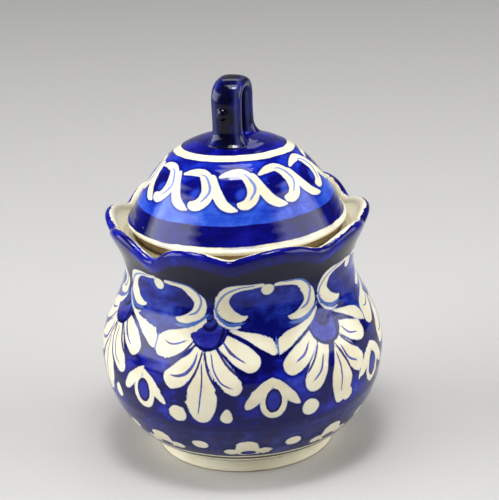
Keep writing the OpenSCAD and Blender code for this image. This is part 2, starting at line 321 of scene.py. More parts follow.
class Chart:
    """The painted side of a thrown wall laid flat round one motif: across is radius times angle and up is
    distance along the wall, both in mm, so that brush widths come out true."""

    def __init__(self, angles, radius, run, heights):
        self.angles, self.radius, self.run = angles, radius, run
        self.heights = heights
        self.across, self.up = None, None

    def centre(self, middle, squeeze=1.0):
        """Puts the chart's middle at an angle; squeeze narrows the motif."""
        away = (self.angles - middle + 180) % 360 - 180
        self.across = self.radius * np.radians(away) / squeeze
        self.up = self.run

    def place(self, stations, rng=None, loose=0.0):
        """Stations in chart millimetres, each moved a little by an unsteady hand."""
        s = np.asarray(stations, float)
        column = np.argsort(self.heights)
        radius = np.interp(s[:, 1], self.heights[column], self.radius[:, 0][column])
        up = np.interp(s[:, 1], self.heights[column], self.run[:, 0][column])
        placed = np.stack([radius * np.radians(s[:, 0]), up, s[:, 2]], 1)
        if rng is not None and loose:
            placed[:, :2] += rng.normal(0, loose, 2) + rng.normal(0, loose * 0.35, (len(s), 2))
            placed[:, 2] *= 1 + rng.normal(0, 0.05)
        return placed

    def near(self, path, reach):
        """The vertices within reach of a path's box."""
        lo, hi = path[:, :2].min(0) - reach, path[:, :2].max(0) + reach
        across, up = self.across, self.up
        return np.nonzero((across > lo[0]) & (across < hi[0]) & (up > lo[1]) & (up < hi[1]))

    def brush(self, field, placed, reach=7.0):
        """Lowers field to the distance from the stroke's edge: the least of the distances to discs set
        close together along its path."""
        path = smooth_path(placed)
        at = self.near(path, reach)
        gap = np.hypot(self.across[at][:, None] - path[:, 0], self.up[at][:, None] - path[:, 1]) - path[:, 2]
        field[at] = np.minimum(field[at], gap.min(1))

    def line(self, side, far, placed, reach=3.0):
        """A fine line: side is the distance to its left, in half widths, and far the distance from its
        middle in mm, both for the nearest point of the path. The sign lets thin lines stay sharp."""
        path = smooth_path(placed)
        at = self.near(path, reach)
        x, y = self.across[at][:, None] - path[:, 0], self.up[at][:, None] - path[:, 1]
        gap = np.hypot(x, y)
        nearest = gap.argmin(1)
        pick = np.arange(len(nearest)), nearest
        along = np.gradient(path[:, :2], axis=0)
        along /= np.hypot(*along.T)[:, None]
        left = x[pick] * along[nearest, 1] - y[pick] * along[nearest, 0]
        ahead = np.abs(x[pick] * along[nearest, 0] + y[pick] * along[nearest, 1])
        past_end = np.where((nearest == 0) | (nearest == len(path) - 1), ahead, 0)
        closer = gap[pick] < far[at]
        spots = tuple(k[closer] for k in at)
        far[spots] = gap[pick][closer]
        value = (left + np.sign(left) * past_end * 1.5) / path[nearest, 2]
        side[spots] = value[closer]

    def oval(self, field, middle, half_wide, half_high, lean=0.0):
        """Lowers field to the distance from an ellipse's edge, by its shorter half width."""
        x0, y0, _ = self.place([(middle[0], middle[1], 0)])[0]
        at = np.nonzero(np.hypot(self.across - x0, self.up - y0) < max(half_wide, half_high) + 6)
        x, y = self.across[at] - x0, self.up[at] - y0
        c, s = math.cos(math.radians(lean)), math.sin(math.radians(lean))
        reach = np.hypot((x * c + y * s) / half_wide, (y * c - x * s) / half_high)
        field[at] = np.minimum(field[at], (reach - 1) * min(half_wide, half_high))


# The wall and the flare take brushwork. Where no stroke is near, its distance is kept at FAR.
FAR = 8.0
painted_rows = WALL_END + FLARE_STEPS + 1
wall_angles, wall_radius = angles[:painted_rows], radius[:painted_rows]
wall_run, wall_heights = run[:painted_rows], height[:painted_rows]
chart = Chart(wall_angles, wall_radius, wall_run, wall_heights[:, 0])
paint = {name: np.full(wall_radius.shape, FAR) for name in
         ("ivory", "line", "line_far", "gap", "gap_far", "fine", "fine_far", "heart", "disc", "glow", "eye",
          "arc", "arc_far", "oval", "shade")}
hand = np.random.default_rng(20)

for number, middle in enumerate(DAISY_TURNS):
    loose = 0.10 if number in (0, 1) else 0.28
    squeeze = 1.0 if number in (0, 1, 6) else 0.92
    leaning = number in (1, 4)
    petals, veins, gaps = ((LEANING_PETALS, LEANING_VEINS, LEANING_GAPS) if leaning else
                           (DAISY_PETALS, DAISY_VEINS, DAISY_GAPS))
    disc_z = 55.6 if leaning else 58.2
    chart.centre(middle, squeeze)
    flower, heart, knob = (np.full(wall_radius.shape, FAR) for _ in range(3))
    for petal in petals:
        chart.brush(flower, chart.place(petal, hand, loose))
    for vein in veins:
        chart.line(paint["line"], paint["line_far"], chart.place(vein, hand, loose))
    for gap in gaps:
        chart.line(paint["gap"], paint["gap_far"], chart.place(gap, hand, 0.06))
    chart.oval(paint["disc"], (0.6, disc_z), 6.7, 6.6)
    chart.oval(paint["glow"], (0.6, disc_z + 0.4), 6.0, 5.6)
    chart.oval(paint["eye"], (0.4, disc_z + 3.0), 3.4, 3.0)
    for arc in DAISY_ARCS:
        stations = [(turn_by, disc_z + above, half) for turn_by, above, half in arc]
        chart.line(paint["arc"], paint["arc_far"], chart.place(stations, hand, 0.10))
    # The petals start at the disc's edge.
    paint["ivory"] = np.minimum(paint["ivory"], np.maximum(flower, -0.25 - paint["disc"]))
    half_step = (DAISY_TURNS[(number + 1) % 7] - middle) % 360 / 2
    chart.centre(middle + half_step + 1.7, squeeze)
    for stroke in HEART_SCROLLS + HEART_LEAVES + HEART_SLIVERS:
        chart.brush(heart, chart.place(stroke, hand, loose * 0.7))
    chart.oval(knob, (-0.5, 72.2), 2.3, 2.2)
    paint["ivory"] = np.minimum(paint["ivory"], np.minimum(heart, knob))
    for stroke in HEART_BANDS + HEART_LINES:
        chart.line(paint["fine"], paint["fine_far"], chart.place(stroke, hand, 0.08))
    chart.oval(paint["heart"], (-8.5, 68.2), 9.8, 5.6)
    chart.oval(paint["heart"], (9.5, 68.6), 9.6, 5.2)
    chart.brush(paint["heart"], chart.place(HEART_POINT))
    chart.centre(middle + half_step - 0.6, squeeze)
    for stroke in TULIP_WINGS:
        chart.brush(paint["ivory"], chart.place(stroke, hand, loose))
    chart.oval(paint["ivory"], (0.1, 34.6), 4.7, 5.6)
    chart.oval(paint["oval"], (0.1, 35.7), 2.9, 4.5, -5)
    dot = hand.normal(0, 0.4, (2, 2))
    chart.oval(paint["ivory"], (15.4 + dot[0, 0], 30.3 + dot[0, 1]), 3.3, 3.2)
    chart.brush(paint["ivory"], chart.place([(-17.3 + dot[1, 0], 33, 0.5), (-17.4 + dot[1, 0], 31.4, 1.7),
                                             (-17.6 + dot[1, 0], 30, 2.2)]))

# The band above the foot: small half flowers between ovals, with soft darker petals beside them.
for middle in (0, 42, 81, 120, 160, 200, 239, 279, 318):
    chart.centre(middle)
    half_flower = [(0, 17.2, 3.9, 2.4), (-1.8, 15.6, 2.8, 2.6), (2.0, 15.4, 2.8, 2.6), (-7.4, 13.6, 2.8, 2.0),
                   (7.8, 13.8, 2.8, 2.0), (0, 13.4, 4.6, 2.4)]
    for turn_by, at_height, half_wide, half_high in half_flower:
        chart.oval(paint["ivory"], (turn_by, at_height), half_wide, half_high)
    chart.oval(paint["oval"], (0.4, 13.0), 2.8, 1.5)
    chart.oval(paint["shade"], (-14.0, 20.6), 2.8, 2.2)
    chart.oval(paint["shade"], (8.4, 19.6), 2.6, 2.6)
    chart.oval(paint["ivory"], (20.8, 16.8), 3.0, 2.3, 8)

paint["ivory"] += 0.10 * ripple(wall_angles, wall_run, 8, 9, 9, 3)


def over_mesh(paint, first, rows):
    """The painted rows' distances, from row first on, with FAR on the mesh's other rows."""
    return {name: np.pad(values, ((first, rows - first - len(values)), (0, 0)), constant_values=FAR)
            for name, values in paint.items()}


fields = over_mesh(paint, 0, len(radius))
# How far past the lip's crest the wall has turned inwards, in mm: the cobalt stops unevenly there.
crest = run[WALL_END + FLARE_STEPS + LIP_STEPS // 2][None]
fields["inward"] = run - crest + 0.9 * ripple(angles, 0 * angles, 31, 7, 70, 12)
# The ledge is painted in bare clay's colour from its groove to the edge of the neck: a painted shade that
# darkens the gap under the lid's edge.
ledge_from = run[WALL_END + FLARE_STEPS + LIP_STEPS + SLOPE_STEPS][None]
fields["ledge"] = np.abs(run - ledge_from - LEDGE_SHADE_HALF - LEDGE_FROM) - LEDGE_SHADE_HALF
fields["underlip"] = (height - (LIP_Z + LOBE_UP * rise - dip)[None]
                      + 0.5 * ripple(angles, 0 * angles, 33, 7, 60, 15))

bowl = turned_mesh("bowl_body_painted", grid, fields, poles=[[0, 0, FOOT_TOP], [0, 0, FLOOR_Z]])

# Paint and glaze colours, as a colour chart would give them.
IVORY, IVORY_WARM = (232, 227, 203), (222, 212, 181)
NAVY_BLACK = (1, 2, 38)
# Bare clay's colour, used as painted shade in the ledge's groove and under the lid's edge.
SHADE_CLAY, SHADE_CLAY_WARM = (186, 160, 124), (164, 134, 98)
NAVY = (7, 7, 78)
COBALT, COBALT_THIN = (20, 26, 152), (44, 70, 190)
LINE_BLUE = (76, 110, 184)


def ink(colour):
    """A colour chart's 0-255 numbers as the linear light that a shader mixes."""
    c = np.array(colour) / 255
    linear = np.where(c <= 0.04045, c / 12.92, ((c + 0.055) / 1.055) ** 2.4)
    return (*linear.tolist(), 1.0)


class Nodes:
    """A node tree being laid out: each call adds one node and gives back its output socket."""

    def __init__(self, tree):
        self.tree = tree
        self.count = 0

    def add(self, kind, **settings):
        node = self.tree.nodes.new(kind)
        node.location = (self.count % 12 * 190, -(self.count // 12) * 260)
        self.count += 1
        for key, value in settings.items():
            setattr(node, key, value)
        return node

    def feed(self, socket, value):
        """Links a socket to another, or sets it to a number or to a colour chart's colour."""
        if isinstance(value, bpy.types.NodeSocket):
            self.tree.links.new(value, socket)
        else:
            socket.default_value = ink(value) if socket.type == "RGBA" else value

    def math(self, operation, a, b=0.0):
        node = self.add("ShaderNodeMath", operation=operation)
        self.feed(node.inputs[0], a)
        self.feed(node.inputs[1], b)
        return node.outputs[0]

    def plus(self, a, b):
        return self.math("ADD", a, b)

    def minus(self, a, b):
        return self.math("SUBTRACT", a, b)

    def times(self, a, b):
        return self.math("MULTIPLY", a, b)

    def range(self, value, low, high, out_low=0.0, out_high=1.0, smooth=True):
        node = self.add("ShaderNodeMapRange", interpolation_type="SMOOTHSTEP" if smooth else "LINEAR")
        for socket, number in zip(node.inputs[:5], (value, low, high, out_low, out_high)):
            self.feed(socket, number)
        return node.outputs[0]

    def mix(self, share, a, b, strength=1.0):
        """Colour b laid over colour a where share is 1, at a strength."""
        if strength != 1.0:
            share = self.times(share, strength)
        node = self.add("ShaderNodeMix", data_type="RGBA")
        for socket, value in zip((node.inputs[0], node.inputs[6], node.inputs[7]), (share, a, b)):
            self.feed(socket, value)
        return node.outputs[2]

    def attribute(self, name):
        return self.add("ShaderNodeAttribute", attribute_name=name).outputs["Fac"]

    def below(self, value, low, high):
        """1 under low, fading to 0 at high."""
        return self.range(value, low, high, 1.0, 0.0)

    def place(self, scale=(1, 1, 1), turn=(0, 0, 0)):
        coords = self.add("ShaderNodeTexCoord").outputs["Object"]
        mapping = self.add("ShaderNodeMapping")
        self.feed(mapping.inputs["Vector"], coords)
        mapping.inputs["Scale"].default_value = scale
        mapping.inputs["Rotation"].default_value = turn
        return mapping.outputs[0]

    def height(self):
        """Height above the table in mm."""
        parts = self.add("ShaderNodeSeparateXYZ")
        self.feed(parts.inputs[0], self.add("ShaderNodeTexCoord").outputs["Object"])
        return self.math("DIVIDE", parts.outputs["Z"], MM)

    def noise(self, where, scale, detail=3.0, rough=0.5, distortion=0.0):
        node = self.add("ShaderNodeTexNoise")
        self.feed(node.inputs["Vector"], where)
        node.inputs["Scale"].default_value = scale
        node.inputs["Detail"].default_value = detail
        node.inputs["Roughness"].default_value = rough
        node.inputs["Distortion"].default_value = distortion
        return node.outputs["Fac"]

    def cells(self, where, scale, **settings):
        """Irregular cells: the node, with the distance from each cell's middle, and their random tones."""
        node = self.add("ShaderNodeTexVoronoi", **settings)
        self.feed(node.inputs["Vector"], where)
        node.inputs["Scale"].default_value = scale
        tones = self.add("ShaderNodeSeparateColor")
        self.feed(tones.inputs[0], node.outputs["Color"])
        return node, tones.outputs

    def group(self, group, **values):
        node = self.add("ShaderNodeGroup")
        node.node_tree = group
        for name, value in values.items():
            self.feed(node.inputs[name], value)
        return node.outputs

    def wash(self, thin, full, deep, pool):
        """Cobalt between three colours; a pool above 0 darkens it. Gives its Color and Depth."""
        return self.group(brush_wash, Thin=thin, Full=full, Deep=deep, Pool=pool)

    def bare(self):
        """The bare ivory ground's colour."""
        return self.group(ivory_ground, Light=IVORY, Warm=IVORY_WARM)["Color"]

    def brushed(self, name, ragged):
        """The edge of the strokes whose distances are stored under a name."""
        return self.group(brush_edge, Distance=self.attribute(name), Ragged=ragged)

    def drawn(self, name):
        """The mask of the fine lines stored under a name."""
        return self.group(fine_stroke, Side=self.attribute(name), Far=self.attribute(name + "_far"))["Mask"]


def new_group(name, inputs, outputs):
    """An empty node group with named sockets, its nodes, what it is given and what it makes."""
    tree = bpy.data.node_groups.new(name, "ShaderNodeTree")
    for title, kind in inputs:
        tree.interface.new_socket(name=title, in_out="INPUT", socket_type="NodeSocket" + kind)
    for title, kind in outputs:
        tree.interface.new_socket(name=title, in_out="OUTPUT", socket_type="NodeSocket" + kind)
    nodes = Nodes(tree)
    return tree, nodes, nodes.add("NodeGroupInput").outputs, nodes.add("NodeGroupOutput").inputs


# Cobalt laid on with a wet brush: broad pools, streaks along the stroke and overlapping dabs.
brush_wash, n, given, made = new_group(
    "brush wash", [("Thin", "Color"), ("Full", "Color"), ("Deep", "Color"), ("Pool", "Float")],
    [("Color", "Color"), ("Depth", "Float")])
pools = n.noise(n.place(), 95, 2, 0.5, 0.6)
streaks = n.noise(n.place((1, 1, 2.6), (0.3, 0.2, 0)), 190, 4, 0.6, 1.2)
dabs, dab_tones = n.cells(n.place((1, 1, 0.8), (0.2, 0.5, 0.3)), 120, feature="SMOOTH_F1")
dabs.inputs["Smoothness"].default_value = 0.35
depth = n.plus(n.times(pools, 0.62), n.times(streaks, 0.28))
depth = n.plus(depth, n.times(dab_tones[0], 0.14))
depth = n.minus(depth, given["Pool"])
full = n.mix(n.range(depth, 0.44, 0.62), given["Deep"], given["Full"])
n.feed(made["Color"], n.mix(n.range(depth, 0.56, 0.80), full, given["Thin"]))
n.feed(made["Depth"], depth)

# The bare glazed ground: warm ivory, a little uneven, with fine dark specks from the clay.
ivory_ground, n, given, made = new_group(
    "ivory ground", [("Light", "Color"), ("Warm", "Color")], [("Color", "Color")])
cloud = n.noise(n.place(), 70, 3, 0.55)
tone = n.mix(n.range(cloud, 0.38, 0.70), given["Light"], given["Warm"])
grit, grit_tones = n.cells(n.place(), 420)
speck = n.times(n.below(grit.outputs["Distance"], 0.05, 0.11), n.math("GREATER_THAN", grit_tones[0], 0.93))
n.feed(made["Color"], n.mix(speck, tone, (122, 104, 78), 0.55))

# A brush edge from a stored distance: ragged at the scale of the hairs, with a pale blue bleed outside it.
brush_edge, n, given, made = new_group(
    "brush edge", [("Distance", "Float"), ("Ragged", "Float")],
    [("Mask", "Float"), ("Bleed", "Float"), ("Outline", "Float")])
hairs = n.minus(n.noise(n.place(), 900, 2, 0.6), 0.5)
swell = n.minus(n.noise(n.place(), 300, 1, 0.5), 0.5)
hairs = n.times(n.plus(hairs, swell), given["Ragged"])
gap = n.plus(given["Distance"], hairs)
n.feed(made["Mask"], n.below(gap, -0.10, 0.10))
n.feed(made["Bleed"], n.range(gap, -0.45, 0.05, 0.0, 1.0))
n.feed(made["Outline"], n.below(gap, 0.15, 1.5))

# A fine line from its stored side and distance.
fine_stroke, n, given, made = new_group(
    "fine stroke", [("Side", "Float"), ("Far", "Float")], [("Mask", "Float")])
hairs = n.times(n.minus(n.noise(n.place(), 800, 2, 0.6), 0.5), 0.7)
inside_line = n.below(n.plus(n.math("ABSOLUTE", given["Side"]), hairs), 0.75, 1.15)
n.feed(made["Mask"], n.times(inside_line, n.below(given["Far"], 0.85, 1.0)))

# The fired glaze's skin: a slow swell, faint orange peel and rare pinholes for the bump, and a gloss
# that is duller in the pinholes.
glaze_skin, n, given, made = new_group(
    "glaze skin", [("Gloss", "Float"), ("Paint", "Float")],
    [("Roughness", "Float"), ("Height", "Float"), ("Specks", "Float")])
swell = n.noise(n.place(), 75, 1, 0.5)
peel = n.noise(n.place(), 520, 2, 0.5)
holes, hole_tones = n.cells(n.place(), 300)
pins = n.times(n.below(holes.outputs["Distance"], 0.03, 0.075), n.math("GREATER_THAN", hole_tones[1], 0.90))
relief = n.plus(n.plus(swell, n.times(peel, 0.05)), n.times(given["Paint"], 0.05))
n.feed(made["Height"], n.minus(relief, n.times(pins, 0.25)))
n.feed(made["Roughness"], n.plus(given["Gloss"], n.plus(n.times(pins, 0.3), n.times(peel, 0.03))))
n.feed(made["Specks"], pins)


def glazed(name):
    """A new material with a bare Principled shader: a clear, hard glaze over whatever colour it is given."""
    material = bpy.data.materials.new(name)
    material.use_nodes = True
    tree = material.node_tree
    tree.nodes.clear()
    nodes = Nodes(tree)
    shader = nodes.add("ShaderNodeBsdfPrincipled")
    shader.inputs["IOR"].default_value = 1.5
    shader.inputs["Specular IOR Level"].default_value = 0.27
    output = nodes.add("ShaderNodeOutputMaterial")
    tree.links.new(shader.outputs[0], output.inputs["Surface"])
    return material, nodes, shader


def finish_glaze(nodes, shader, colour, gloss, paint=0.0, depth=0.00012):
    """Joins a colour and the glaze skin to the shader, with pinholes as pale specks."""
    surface = nodes.group(glaze_skin, Gloss=gloss, Paint=paint)
    nodes.feed(shader.inputs["Base Color"], nodes.mix(surface["Specks"], colour, (200, 200, 215), 0.35))
    nodes.feed(shader.inputs["Roughness"], surface["Roughness"])
    bump = nodes.add("ShaderNodeBump")
    bump.inputs["Strength"].default_value = 1.0
    bump.inputs["Distance"].default_value = depth
    nodes.feed(bump.inputs["Height"], surface["Height"])
    nodes.feed(shader.inputs["Normal"], bump.outputs[0])


# Heights of the painted bands. At the turn into the foot each line's colour, or bare ivory, fills what is
# below its two heights, fading between them.
BAND_TOP = 24.0
NECK_DARKENS = (62.5, 71.5)
LIP_FROM = (74.0, 76.0)
FOOT_LINES = [(11.3, 11.5, (40, 42, 70)), (10.7, 10.9, None), (9.9, 10.1, (10, 10, 44)), (8.3, 8.6, None)]

bowl_glaze, n, shader = glazed("cobalt brushwork on the bowl")
up = n.height()
waver = n.times(n.minus(n.noise(n.place(), 55, 2, 0.5), 0.5), 1.6)
level = n.plus(up, waver)

clay_shade = n.group(ivory_ground, Light=SHADE_CLAY, Warm=SHADE_CLAY_WARM)
# Most strokes have clean sides; here and there the brush was dry and their edges broke up.
dry = n.range(n.noise(n.place(), 85, 1, 0.5), 0.54, 0.66, 0.34, 1.7)
ivory_edge = n.brushed("ivory", dry)
belly = n.wash(COBALT_THIN, COBALT, NAVY, 0.02)
colour = belly["Color"]
band = n.wash((54, 66, 146), (24, 31, 106), (13, 15, 76), -0.04)
in_band = n.below(level, BAND_TOP - 0.4, BAND_TOP + 0.2)
shade_edge = n.brushed("shade", 0.8)
band_colour = n.mix(shade_edge["Mask"], band["Color"], (34, 22, 84), 0.62)
colour = n.mix(in_band, colour, band_colour)
above_band = n.times(n.below(level, BAND_TOP, BAND_TOP + 4.5), n.range(level, BAND_TOP - 0.1, BAND_TOP + 0.3))
colour = n.mix(above_band, colour, NAVY)
# The neck turns near-black from NECK_DARKENS up to the lip: the glaze's own darkest cobalt, and also a
# painted shade under the lip's flare.
neck = n.range(n.plus(up, n.times(waver, 2.0)), *NECK_DARKENS)
colour = n.mix(neck, colour, NAVY_BLACK)
colour = n.mix(ivory_edge["Outline"], colour, (6, 6, 72), 0.66)
heart_edge = n.brushed("heart", 0.5)
heart_wash = n.wash((64, 98, 196), (26, 44, 152), (6, 9, 100), -0.01)
heart_colour = n.mix(ivory_edge["Outline"], heart_wash["Color"], (6, 6, 84), 0.35)
colour = n.mix(heart_edge["Mask"], colour, heart_colour)
disc_edge = n.brushed("disc", 0.3)
glow = n.brushed("glow", 0.5)
eye = n.brushed("eye", 0.5)
disc_wash = n.wash((76, 104, 200), (46, 52, 156), (30, 30, 128), -0.06)
disc_colour = n.mix(glow["Mask"], (12, 12, 82), disc_wash["Color"])
disc_colour = n.mix(eye["Mask"], disc_colour, (24, 20, 104), 0.6)
disc_colour = n.mix(n.drawn("arc"), disc_colour, (8, 6, 56), 0.85)
colour = n.mix(disc_edge["Mask"], colour, disc_colour)
bare = n.bare()
reserve = n.mix(ivory_edge["Bleed"], bare, (142, 160, 204), 0.75)
colour = n.mix(ivory_edge["Mask"], colour, reserve)
vein_colour = n.mix(n.range(n.noise(n.place(), 260), 0.4, 0.65), (24, 34, 128), (40, 66, 176))
colour = n.mix(n.drawn("line"), colour, vein_colour, 0.92)
colour = n.mix(n.drawn("gap"), colour, (20, 20, 104), 0.95)
colour = n.mix(n.drawn("fine"), colour, LINE_BLUE, 0.84)
oval_edge = n.brushed("oval", 0.3)
oval_colour = n.mix(n.range(n.attribute("oval"), -1.2, -0.3), (26, 36, 150), (5, 6, 72))
colour = n.mix(oval_edge["Mask"], colour, oval_colour)
# A bare line is left above the dark line that closes the band, at the turn into the foot; that dark line,
# darker than the navy, is also a painted shade on the underside above the foot.
low_line = n.plus(up, n.times(waver, 0.35))
for whole_at, gone_at, line_colour in FOOT_LINES:
    colour = n.mix(n.below(low_line, whole_at, gone_at), colour, line_colour or bare)
lip = n.range(n.plus(n.attribute("underlip"), waver), -4.4, -2.4)
lip = n.times(lip, n.range(up, *LIP_FROM))
lip_wash = n.wash((40, 52, 190), (16, 18, 132), (8, 8, 92), -0.02)
colour = n.mix(lip, colour, lip_wash["Color"])
inward = n.group(brush_edge, Distance=n.times(n.attribute("inward"), -1.0), Ragged=1.2)
colour = n.mix(inward["Mask"], colour, bare)
# Painted shade: clay colour from the ledge's groove inwards darkens the gap under the lid's edge.
ledge = n.brushed("ledge", 0.6)
colour = n.mix(ledge["Mask"], colour, clay_shade["Color"])
finish_glaze(n, shader, colour, 0.06, belly["Depth"])
bowl.data.materials.append(bowl_glaze)
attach(bowl, "bowl")
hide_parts("bowl_body")

# ---- Foot ring ------------------------------------------------------------------------------------
# A ring of the same clay, turned on the underside so that the bowl stands level. It is glazed ivory with
# the bowl, and wiped bare where it stands, so that it doesn't stick to the kiln shelf.

FOOT_IN = 27.4
foot_outline = even([FOOT_IN, 0] + join(
    [[0.9, 0], [3.2, 0]],
    bend([[3.2, 0], [3.8, 0], [4, 0.3], [4.05, 0.8]], 5),
    bend([[4.05, 0.8], [3.95, 2.4], [4.1, 3.9], [4.6, FOOT_TOP]], 10),
    [[4.6, FOOT_TOP], [-0.2, FOOT_TOP], [0, 0.6]],
    bend([[0, 0.6], [0, 0.2], [0.3, 0], [0.9, 0]], 4)), 44)
foot = turned_mesh("foot_ring_glazed", around(foot_outline[:-1], 360), {})

foot_glaze, n, shader = glazed("ivory glaze on the foot")
up = n.height()
waver = n.minus(n.noise(n.place(), 160, 3, 0.6), 0.5)
bare = n.bare()
# Painted shade: the foot's top, in the crease under the body, is greyed.
colour = n.mix(n.range(n.plus(up, n.times(waver, 1.2)), 4.3, 5.0), bare, (96, 98, 120), 0.5)
colour = n.mix(n.below(n.plus(up, n.times(waver, 0.8)), 0.25, 0.6), colour, (176, 152, 118))
finish_glaze(n, shader, colour, 0.10)
foot.data.materials.append(foot_glaze)
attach(foot, "bowl")
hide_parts("foot_ring")

# ---- Lid dome -------------------------------------------------------------------------------------
# A thrown dome of the same clay, painted with a ring of scrolls over a pale blue band. Its ivory edge
# laps the bowl's ledge, just inside the scalloped lip.

DOME_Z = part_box("lid_dome")[1].z / MM
LID_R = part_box("lid_dome")[1].x / MM
DOME_WALL = 3.6
FLANGE_IN, FLANGE_OUT = 31.6, 34.6
RING_MIDDLE, RING_HALF = 19.6, 1.35
SCROLLS = 11
# Runs up the lid's wall from its edge, where the ivory edge, the dark line and the pale blue band end.
EDGE_RUN, DARK_RUN, OVER_RUN = 0.9, 7.9, 17.5

lid_inside = even(join(
    bend([[0, DOME_Z - DOME_WALL], [6, DOME_Z - DOME_WALL], [13, 108.4], [18, 105.4]], 16),
    bend([[18, 105.4], [26, 100.2], [31, 91.2], [FLANGE_IN, SEAT_Z + 4]], 16),
    [[FLANGE_IN, SEAT_Z + 4], [FLANGE_IN, SEAT_Z]]), 26)
lid_edge = even([LID_R, SEAT_Z] + join(
    [[FLANGE_IN - LID_R, 0], [-2.4, 0]],
    bend([[-2.4, 0], [-2.3, 4.0], [-0.3, 3.1], [-0.02, 4.4]], 9),
    bend([[-0.02, 4.4], [-0.1, 5.0], [-0.5, 5.3], [-1, 5.5]], 5)), 20)
lid_outside = even(join(
    bend([[LID_R - 1, SEAT_Z + 5.5], [34.4, 92], [28, 104], [20, 108.8]], 50),
    bend([[20, 108.8], [14, 112.3], [7, DOME_Z], [0, DOME_Z]], 30)), 136)
lid_outline = np.vstack([lid_inside[1:-1], lid_edge[:-1], lid_outside[:-1]])
LID_STEPS = 512
lid_angle = np.arange(LID_STEPS) * 360 / LID_STEPS
lid_radius = np.repeat(lid_outline[:, :1], LID_STEPS, 1)
lid_height = np.repeat(lid_outline[:, 1:], LID_STEPS, 1)
lid_run = np.repeat(np.concatenate([[0], np.cumsum(np.hypot(*np.diff(lid_outline, axis=0).T))])[:, None],
                    LID_STEPS, 1)
lid_angles = np.broadcast_to(lid_angle, lid_radius.shape)
painted_from = len(lid_outline) - len(lid_outside) + 1
outer = (np.arange(len(lid_outline)) >= painted_from)[:, None]
sunk = outer * np.clip((lid_radius - 3) / 10, 0, 1) * np.clip((LID_R - lid_radius) / 2, 0, 1)
sunk = sunk * (0.14 * (0.5 + 0.5 * ripple(lid_angles, lid_height, 41, 7, 90, 30))
               + 0.05 * (0.5 + 0.5 * np.sin(lid_run * 1.9)))
lid_grid = spun(lid_radius - sunk * 0.6, lid_angles, lid_height - sunk)

ARCH = [(-12.5, 106.4, 0.5), (-7.5, 107, 1.1), (-1, 107.4, 1.5), (5, 107.3, 1.6), (10.3, 105.6, 2.1),
        (12.6, 103, 2.4), (10.8, 100.5, 2.3), (7, 98.9, 2.0), (3.4, 98.6, 1.5), (1.4, 99, 0.7)]
TAIL = [(-18.5, 106.2, 1.2), (-14.5, 102.8, 1.9), (-10, 99.6, 2.0), (-5, 98.0, 1.5), (0, 97.2, 0.4)]
ARCH_VEIN = [(3, 107.1, 0.2), (8, 106.7, 0.34), (12, 105.1, 0.46), (13.8, 103.4, 0.52), (12.6, 101.8, 0.5),
             (9, 99.9, 0.3)]

# The banding wheel ran a little off centre under the lid, so its rings and scrolls sag towards the back.
SAG, SAG_FROM, OFF_CENTRE = 1.1, 22.0, 3.0


def sag(turned):
    """How far a ring has dropped at an angle: nothing at SAG_FROM and twice SAG opposite, as a cosine."""
    return SAG * (1 - np.cos(np.radians(turned - SAG_FROM)))


def sagging(stations, middle):
    """Stations of a stroke dropped by the wheel's error."""
    return [(turn_by, at - sag(middle), half) for turn_by, at, half in stations]


lid_chart = Chart(lid_angles[painted_from:], lid_radius[painted_from:], lid_run[painted_from:],
                  lid_height[painted_from:, 0])
lid_paint = {name: np.full(lid_chart.radius.shape, FAR) for name in
             ("ivory", "line", "line_far", "hollow", "glow")}
hand = np.random.default_rng(7)
for number in range(SCROLLS):
    middle = number * 360 / SCROLLS
    lid_chart.centre(middle)
    loose = 0.08 if number in (0, 1, SCROLLS - 1) else 0.22
    lower = sag(middle)
    for stations in (ARCH, TAIL):
        lid_chart.brush(lid_paint["ivory"], lid_chart.place(sagging(stations, middle), hand, loose))
    lid_chart.line(lid_paint["line"], lid_paint["line_far"],
                   lid_chart.place(sagging(ARCH_VEIN, middle), hand, 0.08))
    lid_chart.oval(lid_paint["hollow"], (0, 102.6 - lower), 4.9, 4.4)
    lid_chart.oval(lid_paint["glow"], (4.6, 101.6 - lower), 3.0, 2.6, 30)
lid_fields = over_mesh(lid_paint, painted_from, len(lid_radius))
lid_fields["from_axis"] = (np.hypot(lid_grid[..., 0], lid_grid[..., 1] - OFF_CENTRE)
                           + 0.12 * ripple(lid_angles, 0 * lid_angles, 51, 7, 60, 12))
lid_fields["up_run"] = lid_run - lid_run[painted_from]
# Painted shade in the undercut under the lid's edge: the height above SEAT_Z + 3.3, below 0 inside it.
lid_fields["seat"] = np.where(lid_radius > FLANGE_OUT - 1, lid_height - SEAT_Z - 3.3, FAR)
lid_fields["banded"] = (lid_fields["up_run"] + sag(lid_angles)
                        + 0.15 * ripple(lid_angles, 0 * lid_angles, 52, 7, 90, 20))
lid_fields["up_run"] = lid_fields["up_run"] + 1.5 * sag(lid_angles)
lid = turned_mesh("lid_dome_painted", lid_grid, lid_fields,
                  poles=[[0, 0, DOME_Z - DOME_WALL], [0, 0, DOME_Z]])

lid_glaze, n, shader = glazed("cobalt scrolls on the lid")
# The rings are read from stored runs along the wall, because they follow the wheel's error.
axis_gap = n.attribute("from_axis")
uneven = n.minus(n.noise(n.place(), 130, 3, 0.6), 0.5)
banded = n.plus(n.attribute("banded"), n.times(uneven, 0.6))
along = n.plus(n.attribute("up_run"), n.times(uneven, 0.9))
over = n.wash((44, 80, 204), (22, 44, 176), (10, 18, 130), -0.03)
pale = n.wash((74, 112, 212), (38, 74, 192), (22, 46, 164), -0.08)
deep = n.wash((16, 22, 156), (9, 11, 132), (6, 6, 96), 0.04)
dark = n.wash((20, 22, 140), (9, 9, 112), (6, 6, 80), 0.0)
cap = n.wash((26, 40, 190), (10, 14, 140), (5, 6, 92), 0.02)
colour = n.mix(n.range(banded, OVER_RUN, OVER_RUN + 2), pale["Color"], over["Color"])
colour = n.mix(n.below(n.attribute("hollow"), -0.9, 0.5), colour, deep["Color"])
glow = n.below(n.attribute("glow"), -1.4, 0.3)
